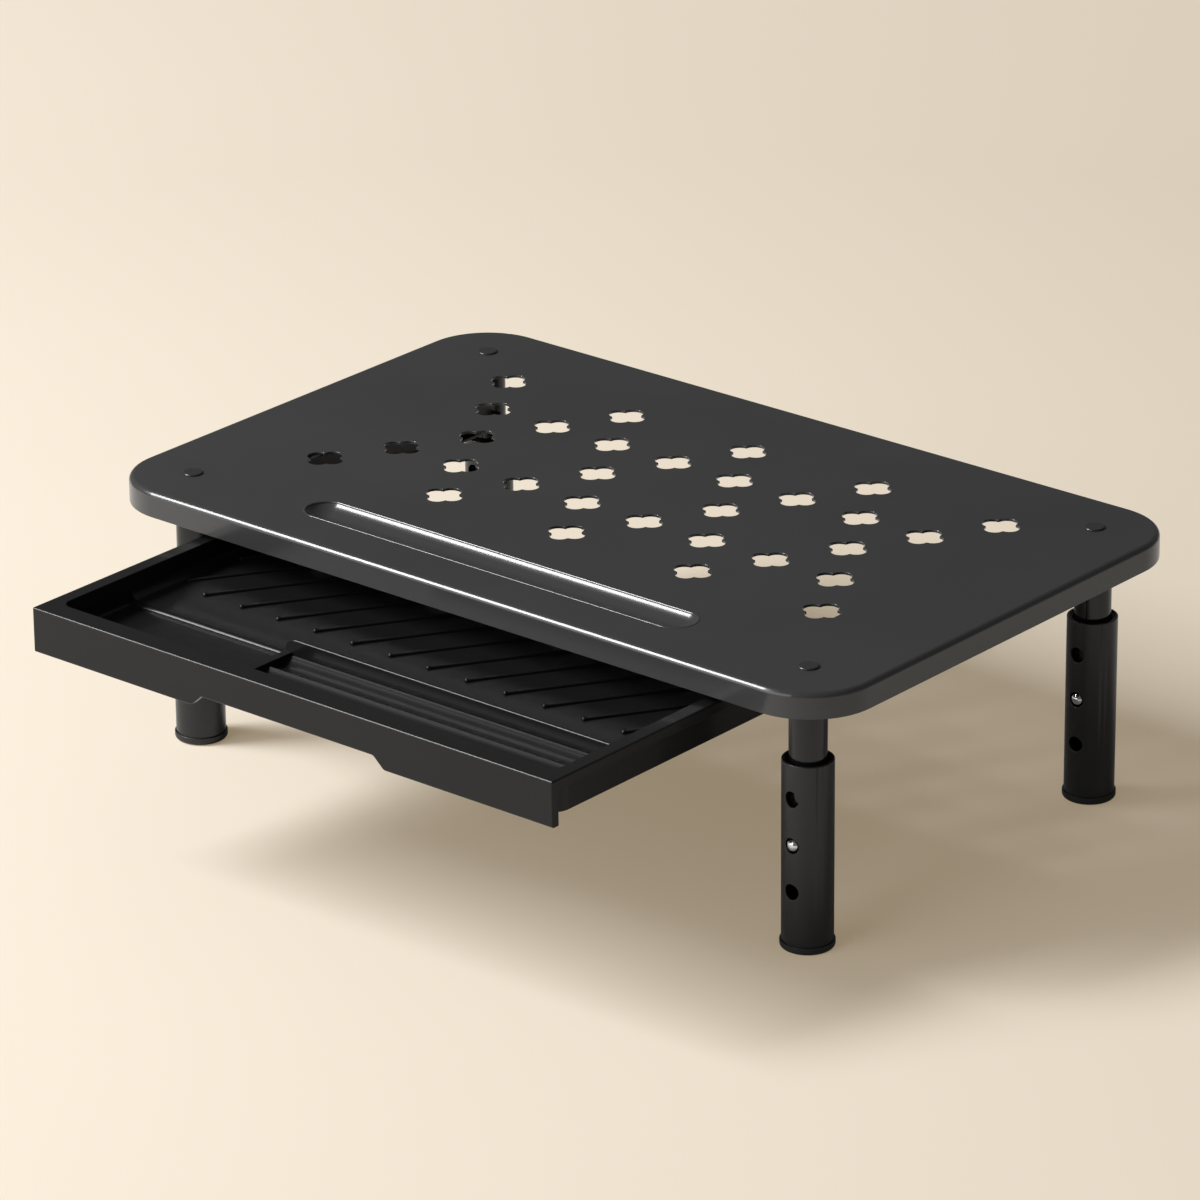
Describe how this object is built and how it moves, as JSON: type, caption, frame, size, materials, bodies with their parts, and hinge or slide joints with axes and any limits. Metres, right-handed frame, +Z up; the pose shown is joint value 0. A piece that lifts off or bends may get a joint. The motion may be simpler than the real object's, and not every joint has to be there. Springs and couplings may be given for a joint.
{
  "type": "desk riser with drawer",
  "caption": "Black steel desk riser: vented plate with rounded corners and a pen groove on height-adjustable tube legs, with a shallow compartment drawer on runners below.",
  "frame": {"origin": "on the desk, midway between the four feet, with the legs at their middle setting", "axes": "+X to the right along the front edge, +Y to the back, +Z up; the drawer pulls out towards -Y"},
  "size_m": [0.3866, 0.3385, 0.1208],
  "materials": {
    "plate_paint": "satin black powder coat",
    "rivet_paint": "satin black",
    "tray_plastic": "matte black moulding",
    "runner_paint": "satin black powder coat",
    "upper_tube_paint": "glossy black",
    "lower_tube_paint": "satin black powder coat",
    "plug_steel": "bare turned steel",
    "bush_plastic": "matte black",
    "foot_rubber": "matte black",
    "button_chrome": "polished",
    "spring_steel": "spring strip"
  },
  "bodies": {
    "platform": {"top_plate": "plate_paint", "leg_rivets": "rivet_paint", "runner_left": "runner_paint", "runner_right": "runner_paint", "upper_tube_fl": "upper_tube_paint", "tube_plug_fl": "plug_steel", "snap_spring_fl": "spring_steel", "upper_tube_fr": "upper_tube_paint", "tube_plug_fr": "plug_steel", "snap_spring_fr": "spring_steel", "upper_tube_bl": "upper_tube_paint", "tube_plug_bl": "plug_steel", "snap_spring_bl": "spring_steel", "upper_tube_br": "upper_tube_paint", "tube_plug_br": "plug_steel", "snap_spring_br": "spring_steel"},
    "drawer": {"drawer_tray": "tray_plastic"},
    "leg_fl": {"lower_tube_fl": "lower_tube_paint", "guide_bush_fl": "bush_plastic", "foot_cap_fl": "foot_rubber"},
    "leg_fr": {"lower_tube_fr": "lower_tube_paint", "guide_bush_fr": "bush_plastic", "foot_cap_fr": "foot_rubber"},
    "leg_bl": {"lower_tube_bl": "lower_tube_paint", "guide_bush_bl": "bush_plastic", "foot_cap_bl": "foot_rubber"},
    "leg_br": {"lower_tube_br": "lower_tube_paint", "guide_bush_br": "bush_plastic", "foot_cap_br": "foot_rubber"},
    "button_fl": {"snap_button_fl": "button_chrome"},
    "button_fr": {"snap_button_fr": "button_chrome"},
    "button_bl": {"snap_button_bl": "button_chrome"},
    "button_br": {"snap_button_br": "button_chrome"}
  },
  "joints": [
    {"name": "drawer_slide", "type": "slide", "parent": "platform", "child": "drawer", "axis": [0, -1, 0], "range_m": [-0.0961, 0.02]},
    {"name": "leg_fl_slide", "type": "slide", "parent": "platform", "child": "leg_fl", "axis": [0, 0, 1], "range_m": [-0.02, 0.02], "deforming": ["snap_button_fl"]},
    {"name": "leg_fr_slide", "type": "slide", "parent": "platform", "child": "leg_fr", "axis": [0, 0, 1], "range_m": [-0.02, 0.02], "deforming": ["snap_button_fr"]},
    {"name": "leg_bl_slide", "type": "slide", "parent": "platform", "child": "leg_bl", "axis": [0, 0, 1], "range_m": [-0.02, 0.02], "deforming": ["snap_button_bl"]},
    {"name": "leg_br_slide", "type": "slide", "parent": "platform", "child": "leg_br", "axis": [0, 0, 1], "range_m": [-0.02, 0.02], "deforming": ["snap_button_br"]},
    {"name": "button_fl_press", "type": "slide", "parent": "platform", "child": "button_fl", "axis": [0, 1, 0], "range_m": [0, 0.0032], "stiffness_N_per_m": 1200, "deforming": ["snap_spring_fl"]},
    {"name": "button_fr_press", "type": "slide", "parent": "platform", "child": "button_fr", "axis": [0, 1, 0], "range_m": [0, 0.0032], "stiffness_N_per_m": 1200, "deforming": ["snap_spring_fr"]},
    {"name": "button_bl_press", "type": "slide", "parent": "platform", "child": "button_bl", "axis": [0, 1, 0], "range_m": [0, 0.0032], "stiffness_N_per_m": 1200, "deforming": ["snap_spring_bl"]},
    {"name": "button_br_press", "type": "slide", "parent": "platform", "child": "button_br", "axis": [0, 1, 0], "range_m": [0, 0.0032], "stiffness_N_per_m": 1200, "deforming": ["snap_spring_br"]}
  ]
}
